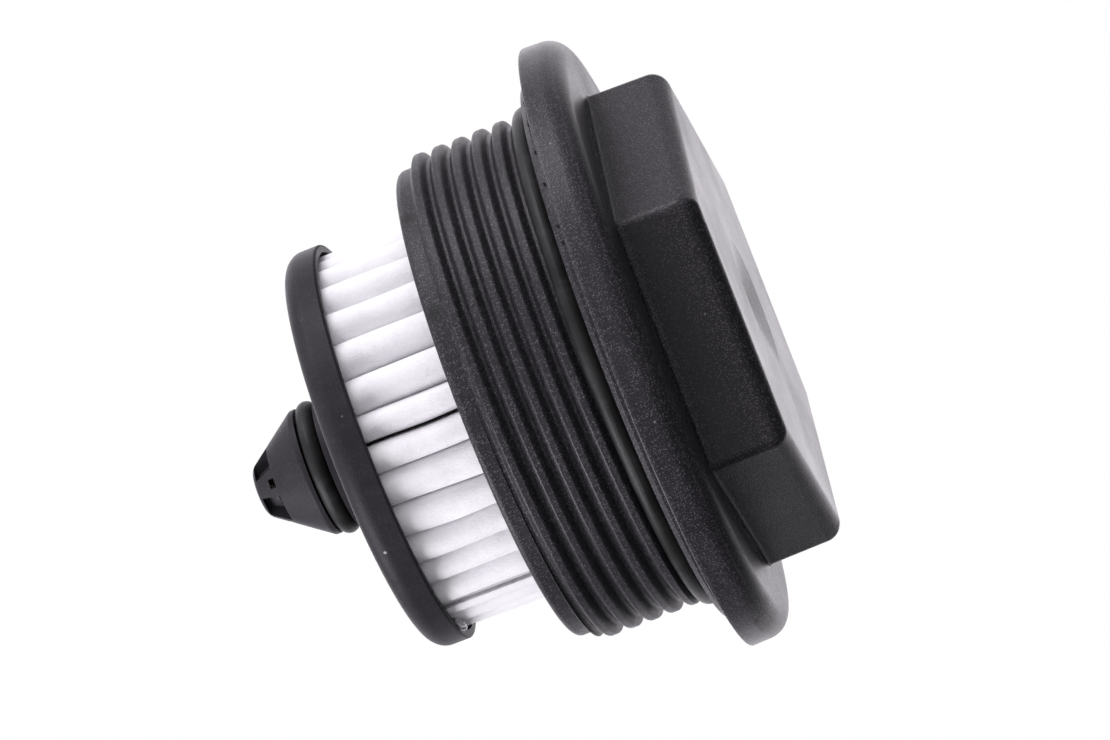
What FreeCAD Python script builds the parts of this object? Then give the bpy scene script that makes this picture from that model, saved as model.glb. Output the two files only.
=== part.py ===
import FreeCAD, Part
import math
import os
import Sketcher
from FreeCAD import Placement, Rotation, Vector

# Transmission oil filter: a screw cap with a hexagon head, an outside thread and
# a seal ring, holding a pleated cartridge whose end cap carries a sealed outlet
# spigot with a slotted conical nose.
# Frame: origin at the centre of the hexagon's end face, +Z along the axis from
# the head to the nose, hexagon corners on the X axis.  Lengths in millimetres,
# angles in degrees.

os.makedirs("parts", exist_ok=True)
doc = FreeCAD.newDocument("TransmissionFilter")
sheet = doc.addObject("Spreadsheet::Sheet", "Dims")

VALUES = [
    # screw cap: hexagon head
    ("hex_flats", 60.6), ("hex_height", 11.3), ("hex_draft", 1.0),
    ("hex_side_round", 1.65), ("hex_face_round", 2.6), ("hex_foot_round", 0.5),
    ("recess_radius", 9.25), ("recess_depth", 1.1), ("recess_floor_radius", 0.8),
    # screw cap: flange and the seat of the seal ring
    ("flange_radius", 44.2), ("flange_low_radius", 44.0), ("flange_top", 17.3),
    ("flange_round", 3.3), ("flange_edge_round", 0.25),
    ("step_radius", 40.0), ("step_height", 1.6), ("step_bevel", 0.7),
    ("seat_radius", 34.0), ("seat_width", 2.8),
    # screw cap: thread, lip and hollow
    ("thread_radius", 36.0), ("thread_pitch", 3.0), ("thread_depth", 1.25),
    ("thread_first", 21.0), ("thread_rise", 18.6), ("thread_end", 37.0),
    ("thread_bevel", 1.1), ("lip_radius", 34.5), ("lip_top", 39.5),
    ("lip_round", 0.9), ("bore_radius", 31.6), ("bore_floor", 14.0),
    ("head_hollow_radius", 26.2), ("head_hollow_top", 12.6), ("roof", 2.9),
    ("boss_radius", 12.3), ("boss_top", 4.4),
    ("collar_inner", 16.0), ("collar_outer", 18.0), ("collar_top", 14.0),
    ("bead_reach", 0.8), ("bead_low", 12.4),
    ("head_rib_width", 1.8), ("head_rib_top", 7.3), ("head_rib_count", 6),
    ("nub_width", 1.1), ("nub_reach", 0.45), ("nub_height", 1.1),
    # seal ring under the flange
    ("ring_section", 2.75), ("ring_radius", 35.4),
    # cartridge: end caps
    ("end_radius", 29.25), ("rim_wall", 1.15), ("upper_low", 14.6),
    ("upper_floor", 17.0), ("upper_rim_top", 20.0),
    ("lower_rim_low", 53.5), ("lower_floor", 56.3), ("lower_top", 58.8),
    ("lower_round", 2.6), ("glue_depth", 1.1),
    # cartridge: snap fingers
    ("finger_inner", 13.3), ("finger_outer", 14.8), ("finger_low", 10.5),
    ("hook_radius", 15.65), ("hook_top", 12.0), ("finger_angle", 34.0),
    ("finger_count", 4),
    # cartridge: pleated medium and its core
    ("media_radius", 27.8), ("media_inner", 12.3), ("media_sheet", 0.8),
    ("media_gap", 0.1), ("core_inner", 10.6), ("core_outer", 12.0),
    ("slot_width", 4.4), ("slot_height", 4.6), ("slot_first", 21.4),
    ("slot_step", 6.9), ("slot_around", 4), ("slot_spacing", 135.0),
    # cartridge: outlet spigot and nose
    ("spigot_radius", 9.55), ("spigot_bore", 6.4), ("groove_low", 62.3),
    ("groove_high", 65.3), ("groove_radius", 7.1), ("cone_radius", 9.2),
    ("cone_rim", 0.55), ("cone_low", 66.0), ("nose_window_low", 70.7),
    ("nose_window_high", 71.25), ("nose_window_radius", 5.75),
    ("pocket_low_radius", 3.3), ("pocket_high_radius", 2.3), ("pocket_top", 73.45),
    ("nose_top", 74.0), ("nose_top_radius", 3.38), ("nose_round", 1.9),
    ("nose_skin_top", 71.25), ("nose_wall", 1.5), ("nose_window_angle", 50.0),
    ("nose_count", 4), ("nose_turn", -80.6), ("latch_width", 1.4),
    ("latch_height", 0.9),
    ("spigot_ring_section", 2.66), ("spigot_ring_radius", 8.43),
    # bypass valve inside the upper end cap
    ("valve_bore", 8.2), ("valve_wall", 1.2), ("valve_top", 29.2),
    ("seat_bore", 4.6), ("seat_lip", 1.0), ("seat_rise", 0.6),
    ("port_width", 5.0), ("port_low", 20.6), ("port_high", 26.0),
    ("plug_radius", 6.9), ("plug_thick", 1.4), ("plug_gap", 0.02),
    ("plug_boss", 3.2), ("plug_boss_rise", 1.6), ("pin_radius", 1.5),
    ("pin_top", 29.8), ("pin_play", 0.08),
    ("keeper_low", 27.0), ("keeper_high", 28.4), ("keeper_radius", 8.5),
    ("keeper_boss", 3.0), ("keeper_boss_drop", 1.6),
    ("keeper_hole", 1.3), ("keeper_hole_circle", 5.7), ("keeper_holes", 6),
    ("spring_radius", 4.25), ("spring_wire", 0.9), ("spring_turns", 5.0),
]
K = {}


class Size:
    """A number of the sheet, or a sum or product of them, with its formula."""

    def __init__(self, text, value):
        self.text = text
        self.value = value

    def _join(self, other, sign, value):
        if not isinstance(other, Size):
            other = Size(repr(float(other)), float(other))
        return Size("(%s %s %s)" % (self.text, sign, other.text), value(self.value, other.value))

    def __add__(self, other):
        return self._join(other, "+", lambda a, b: a + b)

    def __sub__(self, other):
        return self._join(other, "-", lambda a, b: a - b)

    def __mul__(self, other):
        return self._join(other, "*", lambda a, b: a * b)

    def __truediv__(self, other):
        return self._join(other, "/", lambda a, b: a / b)

    def __neg__(self):
        return Size("(0 - %s)" % self.text, -self.value)


for row, (alias, value) in enumerate(VALUES, start=1):
    sheet.set("A%d" % row, alias)
    sheet.set("B%d" % row, repr(value))
    sheet.setAlias("B%d" % row, alias)
    K[alias] = Size("Dims." + alias, float(value))
doc.recompute()


def num(value):
    return value.value if isinstance(value, Size) else float(value)


def bind(obj, prop, value):
    if isinstance(value, Size):
        obj.setExpression(prop, value.text)
    else:
        setattr(obj, prop, value)


def new_body(name):
    body = doc.addObject("PartDesign::Body", "Body_" + name)
    body.Label = name
    return body


def plane(body, role):
    for item in body.Origin.OriginFeatures:
        if item.Role == role:
            return item
    raise RuntimeError("no plane " + role)


def new_sketch(body, name, role, offset=None):
    sketch = body.newObject("Sketcher::SketchObject", name)
    sketch.AttachmentSupport = [(plane(body, role), "")]
    sketch.MapMode = "FlatFace"
    if offset is not None:
        sketch.AttachmentOffset = offset
    return sketch


def pin_point(sketch, geo, pos, x, y):
    """Fixes a point at a place that follows the sheet."""
    for axis, value, kind in ((-2, x, "DistanceX"), (-1, y, "DistanceY")):
        if abs(num(value)) < 1e-9:
            sketch.addConstraint(Sketcher.Constraint("PointOnObject", geo, pos, axis))
            continue
        at = sketch.addConstraint(Sketcher.Constraint(kind, -1, 1, geo, pos, num(value)))
        if isinstance(value, Size):
            sketch.setExpression("Constraints[%d]" % at, value.text)


def polygon(sketch, points):
    """Closed outline through (x, y) corners."""
    first = sketch.GeometryCount
    count = len(points)
    flat = [Vector(num(x), num(y), 0) for x, y in points]
    for i in range(count):
        sketch.addGeometry(Part.LineSegment(flat[i], flat[(i + 1) % count]), False)
    for i in range(count):
        sketch.addConstraint(Sketcher.Constraint("Coincident", first + i, 2, first + (i + 1) % count, 1))
    for i, (x, y) in enumerate(points):
        pin_point(sketch, first + i, 1, x, y)


def circle(sketch, x, y, radius):
    at = sketch.addGeometry(Part.Circle(Vector(num(x), num(y), 0), Vector(0, 0, 1), num(radius)), False)
    pin_point(sketch, at, 3, x, y)
    con = sketch.addConstraint(Sketcher.Constraint("Radius", at, num(radius)))
    if isinstance(radius, Size):
        sketch.setExpression("Constraints[%d]" % con, radius.text)


def turned(body, name, points, kind="PartDesign::Revolution", angle=360.0, middle=False, offset=None):
    """Turns an outline of (radius, height) corners about the Z axis."""
    sketch = new_sketch(body, name + "_outline", "XZ_Plane", offset)
    polygon(sketch, points)
    feature = body.newObject(kind, name)
    feature.Profile = sketch
    feature.ReferenceAxis = (sketch, ["V_Axis"])
    bind(feature, "Angle", angle)
    feature.Midplane = middle
    doc.recompute()
    return feature


def around(body, name, feature, count, angle=360.0):
    pattern = body.newObject("PartDesign::PolarPattern", name)
    pattern.Originals = [feature]
    pattern.Axis = (plane(body, "Z_Axis"), [""])
    bind(pattern, "Angle", angle)
    bind(pattern, "Occurrences", count)
    body.Tip = pattern
    doc.recompute()
    return pattern


def rounded(body, name, feature, radius, wanted):
    """Rounds the edges of a feature that a test picks."""
    edges = ["Edge%d" % (i + 1) for i, e in enumerate(feature.Shape.Edges) if wanted(e)]
    if not edges:
        raise RuntimeError("no edge for " + name)
    fillet = body.newObject("PartDesign::Fillet", name)
    fillet.Base = (feature, edges)
    bind(fillet, "Radius", radius)
    doc.recompute()
    return fillet


def ring_edge(radius, height):
    """A test for the full circle of a radius at a height."""
    def test(edge):
        if edge.Degenerated:
            return False
        curve = edge.Curve
        if not hasattr(curve, "Radius") or not hasattr(curve, "Center"):
            return False
        return abs(curve.Radius - num(radius)) < 1e-3 and abs(curve.Center.z - num(height)) < 1e-3
    return test


def must_cut(feature, before, what):
    after = feature.Shape.Volume
    if not after < before - 1e-3:
        raise RuntimeError("%s cut nothing: %.3f, %.3f" % (what, before, after))


def must_add(feature, before, what):
    after = feature.Shape.Volume
    if not after > before + 1e-3:
        raise RuntimeError("%s added nothing: %.3f, %.3f" % (what, before, after))


# --------------------------------------------------------------- screw cap
cap = new_body("screw_cap")
draft = math.tan(math.radians(K["hex_draft"].value))
face_flats = K["hex_flats"] - K["hex_height"] * (2.0 * draft)
corner = face_flats / math.sqrt(3.0)
half = face_flats / 2.0
outline = new_sketch(cap, "head_outline", "XY_Plane")
polygon(outline, [(corner, 0.0), (corner / 2.0, half), (-(corner / 2.0), half),
                  (-corner, 0.0), (-(corner / 2.0), -half), (corner / 2.0, -half)])
head = cap.newObject("PartDesign::Pad", "head")
head.Profile = outline
bind(head, "Length", K["hex_height"] + 1.0)
bind(head, "TaperAngle", K["hex_draft"])
doc.recompute()
head = rounded(cap, "head_face_edges", head, K["hex_face_round"],
               lambda e: max(v.Z for v in e.Vertexes) < 1e-4)
head = rounded(cap, "head_side_edges", head, K["hex_side_round"],
               lambda e: abs(e.Vertexes[0].Z - e.Vertexes[-1].Z) > 5)

# flange, seat of the seal ring, threaded skirt and plain lip, turned in one outline
step_top = K["flange_top"] + K["step_height"]
seat_top = step_top + K["seat_width"]
body_volume = head.Shape.Volume
skirt = turned(cap, "flange_and_skirt", [
    (0.0, K["hex_height"]),
    (K["flange_low_radius"], K["hex_height"]),
    (K["flange_radius"], K["flange_top"]),
    (K["step_radius"], K["flange_top"]),
    (K["step_radius"], step_top - K["step_bevel"]),
    (K["step_radius"] - K["step_bevel"], step_top),
    (K["seat_radius"], step_top),
    (K["seat_radius"], seat_top),
    (K["thread_radius"] - K["thread_bevel"], seat_top),
    (K["thread_radius"], seat_top + K["thread_bevel"] * 0.6),
    (K["thread_radius"], K["thread_end"] - K["thread_bevel"] * 0.6),
    (K["thread_radius"] - K["thread_bevel"], K["thread_end"]),
    (K["lip_radius"], K["thread_end"]),
    (K["lip_radius"], K["lip_top"]),
    (0.0, K["lip_top"]),
])
must_add(skirt, body_volume, "skirt")
foot_z = K["hex_height"].value
cap_shape = rounded(cap, "head_foot_edge", skirt, K["hex_foot_round"],
                    lambda e: all(abs(v.Z - foot_z) < 1e-3 and math.hypot(v.X, v.Y) < 36.5 for v in e.Vertexes)
                    and abs(e.BoundBox.ZMax - foot_z) < 1e-3 and abs(e.BoundBox.ZMin - foot_z) < 1e-3)
cap_shape = rounded(cap, "flange_head_edge", cap_shape, K["flange_round"],
                    ring_edge(K["flange_low_radius"], K["hex_height"]))
cap_shape = rounded(cap, "flange_skirt_edge", cap_shape, K["flange_edge_round"],
                    ring_edge(K["flange_radius"], K["flange_top"]))
cap_shape = rounded(cap, "lip_edge", cap_shape, K["lip_round"],
                    ring_edge(K["lip_radius"], K["lip_top"]))

# hollow inside of the skirt and the head
before = cap_shape.Shape.Volume
hollow = turned(cap, "hollow", [
    (0.0, K["roof"]),
    (K["head_hollow_radius"] - 0.3, K["roof"]),
    (K["head_hollow_radius"], K["head_hollow_top"]),
    (K["bore_radius"], K["bore_floor"]),
    (K["bore_radius"], K["lip_top"] + 1.0),
    (0.0, K["lip_top"] + 1.0),
], kind="PartDesign::Groove")
must_cut(hollow, before, "hollow")

# boss behind the recess of the end face, and the snap collar with its inner bead
before = hollow.Shape.Volume
boss = turned(cap, "boss", [
    (0.0, K["roof"] - 0.3), (K["boss_radius"], K["roof"] - 0.3),
    (K["boss_radius"] - 0.2, K["boss_top"]), (0.0, K["boss_top"]),
])
must_add(boss, before, "boss")
before = boss.Shape.Volume
collar = turned(cap, "snap_collar", [
    (K["collar_inner"], K["roof"] - 0.3),
    (K["collar_outer"], K["roof"] - 0.3),
    (K["collar_outer"] - 0.2, K["collar_top"]),
    (K["collar_inner"], K["collar_top"]),
    (K["collar_inner"] - K["bead_reach"], K["collar_top"] - 0.6),
    (K["collar_inner"] - K["bead_reach"], K["bead_low"] + 0.3),
    (K["collar_inner"], K["bead_low"]),
])
must_add(collar, before, "snap collar")

# stiffening ribs inside the head
before = collar.Shape.Volume
rib_sketch = new_sketch(cap, "head_rib_outline", "XZ_Plane")
polygon(rib_sketch, [
    (K["boss_radius"] - 1.0, K["roof"] - 0.3),
    (K["head_hollow_radius"] + 0.4, K["roof"] - 0.3),
    (K["head_hollow_radius"] + 0.4, K["head_rib_top"]),
    (K["collar_inner"] + 1.0, K["head_rib_top"]),
    (K["boss_radius"] - 1.0, K["boss_top"] - 0.6),
])
rib = cap.newObject("PartDesign::Pad", "head_rib")
rib.Profile = rib_sketch
bind(rib, "Length", K["head_rib_width"])
rib.Midplane = True
doc.recompute()
ribs = around(cap, "head_ribs", rib, K["head_rib_count"])
must_add(ribs, before, "head ribs")

# round recess in the end face: a shallow dish with a straight flank
before = ribs.Shape.Volume
recess = turned(cap, "recess", [
    (0.0, -0.5), (K["recess_radius"], -0.5), (K["recess_radius"], 0.0),
    (K["recess_floor_radius"], K["recess_depth"]), (0.0, K["recess_depth"]),
], kind="PartDesign::Groove")
must_cut(recess, before, "recess")

# six small moulding nubs on the step under the flange, unevenly spaced
before = recess.Shape.Volume
nub_sketch = new_sketch(cap, "nub_outline", "XY_Plane",
                        Placement(Vector(0, 0, K["flange_top"].value - 0.2), Rotation()))
nub_sketch.setExpression("AttachmentOffset.Base.z", (K["flange_top"] - 0.2).text)
for azimuth, share in ((-23.0, 1.0), (-31.5, 0.8), (-40.0, 1.3), (-49.0, 0.8), (-59.0, 0.7), (-62.5, 1.0)):
    a = math.radians(azimuth)
    out, side = Vector(math.cos(a), math.sin(a), 0), Vector(-math.sin(a), math.cos(a), 0)
    corners = []
    for reach, across in ((-0.6, -0.5), (1.0, -0.4), (1.0, 0.4), (-0.6, 0.5)):
        r = K["step_radius"] + K["nub_reach"] * reach
        w = K["nub_width"] * (across * share)
        corners.append((r * out.x + w * side.x, r * out.y + w * side.y))
    polygon(nub_sketch, corners)
nubs = cap.newObject("PartDesign::Pad", "nubs")
nubs.Profile = nub_sketch
bind(nubs, "Length", K["nub_height"])
doc.recompute()
must_add(nubs, before, "nubs")

# outside thread: the groove between the turns is cut along a right-hand helix
before = nubs.Shape.Volume
valley = new_sketch(cap, "thread_valley", "XZ_Plane")
r_top, r_root = K["thread_radius"], K["thread_radius"] - K["thread_depth"]
z_mid = K["thread_first"]
half_pitch = K["thread_pitch"] / 2.0
polygon(valley, [
    (-(r_top + 0.4), z_mid - half_pitch * 0.72),
    (-(r_top), z_mid - half_pitch * 0.72),
    (-(r_top - K["thread_depth"] * 0.08), z_mid - half_pitch * 0.60),
    (-(r_top - K["thread_depth"] * 0.26), z_mid - half_pitch * 0.50),
    (-(r_root + K["thread_depth"] * 0.12), z_mid - half_pitch * 0.24),
    (-(r_root), z_mid - half_pitch * 0.12),
    (-(r_root), z_mid + half_pitch * 0.12),
    (-(r_root + K["thread_depth"] * 0.12), z_mid + half_pitch * 0.24),
    (-(r_top - K["thread_depth"] * 0.26), z_mid + half_pitch * 0.50),
    (-(r_top - K["thread_depth"] * 0.08), z_mid + half_pitch * 0.60),
    (-(r_top), z_mid + half_pitch * 0.72),
    (-(r_top + 0.4), z_mid + half_pitch * 0.72),
])
thread = cap.newObject("PartDesign::SubtractiveHelix", "thread")
thread.Profile = valley
thread.ReferenceAxis = (valley, ["V_Axis"])
thread.Mode = 0
bind(thread, "Pitch", K["thread_pitch"])
bind(thread, "Height", K["thread_rise"])
thread.LeftHanded = False
doc.recompute()
must_cut(thread, before, "thread")
cap.Tip = thread

# --------------------------------------------------------------- seal ring
cap_ring = doc.addObject("Part::Torus", "CapRing")
cap_ring.Label = "cap_seal_ring"
bind(cap_ring, "Radius1", K["ring_radius"])
bind(cap_ring, "Radius2", K["ring_section"] / 2.0)
cap_ring.Placement = Placement(Vector(0, 0, (step_top + K["seat_width"] / 2.0).value), Rotation())
cap_ring.setExpression("Placement.Base.z", (step_top + K["seat_width"] / 2.0).text)

# --------------------------------------------------------------- upper end cap
upper = new_body("upper_end_cap")
rim_inner = K["end_radius"] - K["rim_wall"]
valve_outer = K["valve_bore"] + K["valve_wall"]
seat_outer = K["seat_bore"] + K["seat_lip"]
plate = turned(upper, "plate_and_valve_wall", [
    (K["seat_bore"], K["upper_low"]),
    (K["end_radius"] - 0.6, K["upper_low"]),
    (K["end_radius"], K["upper_low"] + 0.6),
    (K["end_radius"], K["upper_rim_top"]),
    (rim_inner, K["upper_rim_top"]),
    (rim_inner, K["upper_floor"]),
    (valve_outer, K["upper_floor"]),
    (valve_outer, K["valve_top"]),
    (K["valve_bore"] + 0.1, K["valve_top"]),
    (K["valve_bore"] + 0.1, K["keeper_high"] + 0.3),
    (K["keeper_radius"] + 0.1, K["keeper_high"] + 0.1),
    (K["keeper_radius"] + 0.1, K["keeper_low"]),
    (K["valve_bore"], K["keeper_low"]),
    (K["valve_bore"], K["upper_floor"]),
    (seat_outer, K["upper_floor"]),
    (seat_outer, K["upper_floor"] + K["seat_rise"]),
    (K["seat_bore"], K["upper_floor"] + K["seat_rise"]),
])
before = plate.Shape.Volume
finger = turned(upper, "snap_finger", [
    (K["finger_inner"], K["upper_low"] + 0.3),
    (K["finger_inner"], K["finger_low"]),
    (K["finger_outer"] - 0.1, K["finger_low"]),
    (K["hook_radius"], K["hook_top"] - 0.6),
    (K["hook_radius"], K["hook_top"]),
    (K["finger_outer"], K["hook_top"]),
    (K["finger_outer"], K["upper_low"] + 0.3),
], angle=K["finger_angle"], middle=True)
fingers = around(upper, "snap_fingers", finger, K["finger_count"])
must_add(fingers, before, "snap fingers")
before = fingers.Shape.Volume
port_sketch = new_sketch(upper, "valve_port_outline", "XZ_Plane")
w = K["port_width"] / 2.0
polygon(port_sketch, [(-w, K["port_low"]), (w, K["port_low"]), (w, K["port_high"]), (-w, K["port_high"])])
port = upper.newObject("PartDesign::Pocket", "valve_port")
port.Profile = port_sketch
port.Type = "ThroughAll"
port.Midplane = True
doc.recompute()
ports = around(upper, "valve_ports", port, 2, 180.0 / 2)
must_cut(ports, before, "valve ports")

# --------------------------------------------------------------- bypass valve
plug_low = K["upper_floor"] + K["seat_rise"] + K["plug_gap"]
plug_high = plug_low + K["plug_thick"]
plug = new_body("bypass_plug")
plug_shape = turned(plug, "plug_disc_and_pin", [
    (0.0, plug_low),
    (K["plug_radius"] - 0.3, plug_low),
    (K["plug_radius"], plug_low + 0.3),
    (K["plug_radius"], plug_high),
    (K["plug_boss"], plug_high),
    (K["plug_boss"] - 0.2, plug_high + K["plug_boss_rise"]),
    (K["pin_radius"], plug_high + K["plug_boss_rise"]),
    (K["pin_radius"], K["pin_top"] - 0.4),
    (K["pin_radius"] - 0.4, K["pin_top"]),
    (0.0, K["pin_top"]),
])

keeper = new_body("bypass_spring_keeper")
keeper_shape = turned(keeper, "keeper_disc", [
    (K["pin_radius"] + K["pin_play"], K["keeper_low"] - K["keeper_boss_drop"]),
    (K["keeper_boss"], K["keeper_low"] - K["keeper_boss_drop"]),
    (K["keeper_boss"], K["keeper_low"]),
    (K["keeper_radius"], K["keeper_low"]),
    (K["keeper_radius"], K["keeper_high"]),
    (K["pin_radius"] + K["pin_play"], K["keeper_high"]),
])
before = keeper_shape.Shape.Volume
hole_sketch = new_sketch(keeper, "flow_hole_outline", "XY_Plane")
circle(hole_sketch, K["keeper_hole_circle"], 0.0, K["keeper_hole"])
hole = keeper.newObject("PartDesign::Pocket", "flow_hole")
hole.Profile = hole_sketch
hole.Type = "ThroughAll"
hole.Midplane = True
doc.recompute()
holes = around(keeper, "flow_holes", hole, K["keeper_holes"])
must_cut(holes, before, "flow holes")

# coil spring of the valve, wound right-hand
spring = new_body("bypass_spring")
wire = new_sketch(spring, "wire_section", "XZ_Plane")
wire_low = plug_high + K["spring_wire"] / 2.0 + 0.02
wire_high = K["keeper_low"] - K["spring_wire"] / 2.0 - 0.02
circle(wire, K["spring_radius"], wire_low, K["spring_wire"] / 2.0)
coil = spring.newObject("PartDesign::AdditiveHelix", "coil")
coil.Profile = wire
coil.ReferenceAxis = (wire, ["V_Axis"])
coil.Mode = 0
bind(coil, "Pitch", (wire_high - wire_low) / K["spring_turns"])
bind(coil, "Height", wire_high - wire_low)
doc.recompute()

# --------------------------------------------------------------- lower end cap
lower = new_body("lower_end_cap")
nose_slope = (K["cone_radius"] - K["nose_window_radius"]) / (K["nose_window_low"] - K["cone_low"])
lower_shape = turned(lower, "plate_spigot_and_nose", [
    (K["spigot_bore"], K["lower_floor"]),
    (rim_inner, K["lower_floor"]),
    (rim_inner, K["lower_rim_low"]),
    (K["end_radius"], K["lower_rim_low"]),
    (K["end_radius"], K["lower_top"]),
    (K["spigot_radius"], K["lower_top"]),
    (K["spigot_radius"], K["groove_low"]),
    (K["groove_radius"], K["groove_low"]),
    (K["groove_radius"], K["groove_high"]),
    (K["cone_radius"], K["groove_high"]),
    (K["cone_radius"], K["cone_low"]),
    (K["nose_top_radius"], K["nose_top"]),
    (0.0, K["nose_top"]),
    (0.0, K["nose_skin_top"]),
    (K["nose_top_radius"] - 0.9, K["nose_skin_top"]),
    (K["nose_window_radius"] - K["nose_wall"], K["nose_window_low"]),
    (K["spigot_bore"], K["groove_high"] + 2.2),
])
lower_shape = rounded(lower, "outer_edge", lower_shape, K["lower_round"],
                      ring_edge(K["end_radius"], K["lower_top"]))
lower_shape = rounded(lower, "nose_edge", lower_shape, K["nose_round"],
                      ring_edge(K["nose_top_radius"], K["nose_top"]))
lower_shape = rounded(lower, "cone_edge", lower_shape, K["cone_rim"],
                      ring_edge(K["cone_radius"], K["cone_low"]))
lower_shape = rounded(lower, "rim_edge", lower_shape, 0.3,
                      ring_edge(K["end_radius"], K["lower_rim_low"]))
before = lower_shape.Shape.Volume
window = turned(lower, "nose_window", [
    (K["nose_top_radius"] - 1.4, K["nose_window_low"]),
    (K["cone_radius"], K["nose_window_low"]),
    (K["cone_radius"], K["pocket_top"]),
    (K["pocket_high_radius"], K["pocket_top"]),
    (K["pocket_low_radius"], K["nose_window_high"]),
    (K["nose_top_radius"] - 1.4, K["nose_window_high"]),
], kind="PartDesign::Groove", angle=K["nose_window_angle"], middle=True,
    offset=Placement(Vector(0, 0, 0), Rotation(Vector(0, 1, 0), 45)))
windows = around(lower, "nose_windows", window, K["nose_count"])
must_cut(windows, before, "nose windows")
before = windows.Shape.Volume
latch_sketch = new_sketch(lower, "finger_slot_outline", "XZ_Plane")
w = K["latch_width"] / 2.0
polygon(latch_sketch, [
    (-w, K["nose_window_low"]), (w, K["nose_window_low"]),
    (w, K["nose_window_low"] + K["latch_height"]), (-w, K["nose_window_low"] + K["latch_height"])])
latch = lower.newObject("PartDesign::Pocket", "finger_slot")
latch.Profile = latch_sketch
latch.Type = "ThroughAll"
latch.Midplane = True
doc.recompute()
latches = around(lower, "finger_slots", latch, 2, 180.0 / 2)
must_cut(latches, before, "finger slots")
lower.Placement = Placement(Vector(0, 0, 0), Rotation(Vector(0, 0, 1), K["nose_turn"].value))
lower.setExpression("Placement.Rotation.Angle", K["nose_turn"].text)

spigot_ring = doc.addObject("Part::Torus", "SpigotRing")
spigot_ring.Label = "spigot_seal_ring"
bind(spigot_ring, "Radius1", K["spigot_ring_radius"])
bind(spigot_ring, "Radius2", K["spigot_ring_section"] / 2.0)
ring_height = (K["groove_low"] + K["groove_high"]) / 2.0
spigot_ring.Placement = Placement(Vector(0, 0, ring_height.value), Rotation())
spigot_ring.setExpression("Placement.Base.z", ring_height.text)

# --------------------------------------------------------------- core tube
media_low = K["upper_floor"] + K["glue_depth"]
media_high = K["lower_floor"] - K["glue_depth"]
core = new_body("core_tube")
core_shape = turned(core, "core_wall", [
    (K["core_inner"], media_low), (K["core_outer"], media_low),
    (K["core_outer"], media_high), (K["core_inner"], media_high),
])
before = core_shape.Shape.Volume
slot_sketch = new_sketch(core, "core_slot_outline", "XZ_Plane")
w = K["slot_width"] / 2.0
for i in range(5):
    z = K["slot_first"] + K["slot_step"] * float(i)
    polygon(slot_sketch, [(-w, z), (w, z), (w, z + K["slot_height"]), (-w, z + K["slot_height"])])
slot = core.newObject("PartDesign::Pocket", "core_slot")
slot.Profile = slot_sketch
slot.Type = "ThroughAll"
slot.Midplane = True
doc.recompute()
slots = around(core, "core_slots", slot, K["slot_around"], K["slot_spacing"])
must_cut(slots, before, "core slots")

# --------------------------------------------------------------- glue beds
for name, low in (("upper_glue_bed", K["upper_floor"]), ("lower_glue_bed", media_high)):
    bed = new_body(name)
    turned(bed, name + "_ring", [
        (K["core_inner"], low), (rim_inner, low),
        (rim_inner, low + K["glue_depth"]), (K["core_inner"], low + K["glue_depth"]),
    ])

# --------------------------------------------------------------- pleated medium
# Outer folds lie between these boundaries, given as angles about the axis.  The
# folds on one side are uneven, and one narrow fold holds the glued seam.
VISIBLE = [27.2, 39.2, 51.4, 64.7, 76.3, 85.8, 95.0, 106.7, 116.9, 127.3, 137.7, 147.9, 154.0]
PLEATS = 33
bounds = [-v for v in VISIBLE]
rest_count = PLEATS - (len(bounds) - 1)
span = 360.0 - (VISIBLE[-1] - VISIBLE[0])
for i in range(1, rest_count):
    bounds.append(-VISIBLE[-1] - span * i / rest_count)
media_r = K["media_radius"].value
media_in = K["media_inner"].value
sheet_t = K["media_sheet"].value
gap = K["media_gap"].value
fold_r = media_in + sheet_t + gap / 2.0


def polar(r, deg):
    return Vector(r * math.cos(math.radians(deg)), r * math.sin(math.radians(deg)), 0)


# each boundary is a straight line from an even inner fold to an uneven outer gap
mean = sum(b + 360.0 * i / PLEATS for i, b in enumerate(bounds)) / PLEATS
rays = []
for i, b in enumerate(bounds):
    inner = polar(fold_r, mean - 360.0 * i / PLEATS)
    outer = polar(25.4, b)
    along = (outer - inner).normalize()
    rays.append((inner, along, Vector(-along.y, along.x, 0)))


def meet(p, u, q, v):
    cross = u.x * v.y - u.y * v.x
    k = ((q.x - p.x) * v.y - (q.y - p.y) * v.x) / cross
    return p + u * k


def lobe(ray_a, ray_b):
    """Centre and radius of the outer fold between two boundaries, a before b clockwise."""
    pa, ua, na = ray_a
    pb, ub, nb = ray_b
    pa, pb = pa - na * (gap / 2), pb + nb * (gap / 2)
    apex = meet(pa, ua, pb, ub)
    mid = (ua + ub).normalize()
    start = apex + mid * ((pa + pb) * 0.5 - apex).dot(mid)
    low, high = 0.0, media_r
    for _ in range(60):
        centre = start + mid * (0.5 * (low + high))
        radius = abs((centre - pa).dot(na))
        if centre.Length + radius > media_r:
            high = 0.5 * (low + high)
        else:
            low = 0.5 * (low + high)
    return centre, radius


def foot(point, ray, side, shift):
    p, u, n = ray
    start = p + n * (side * shift)
    return start + u * (point - start).dot(u)


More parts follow.
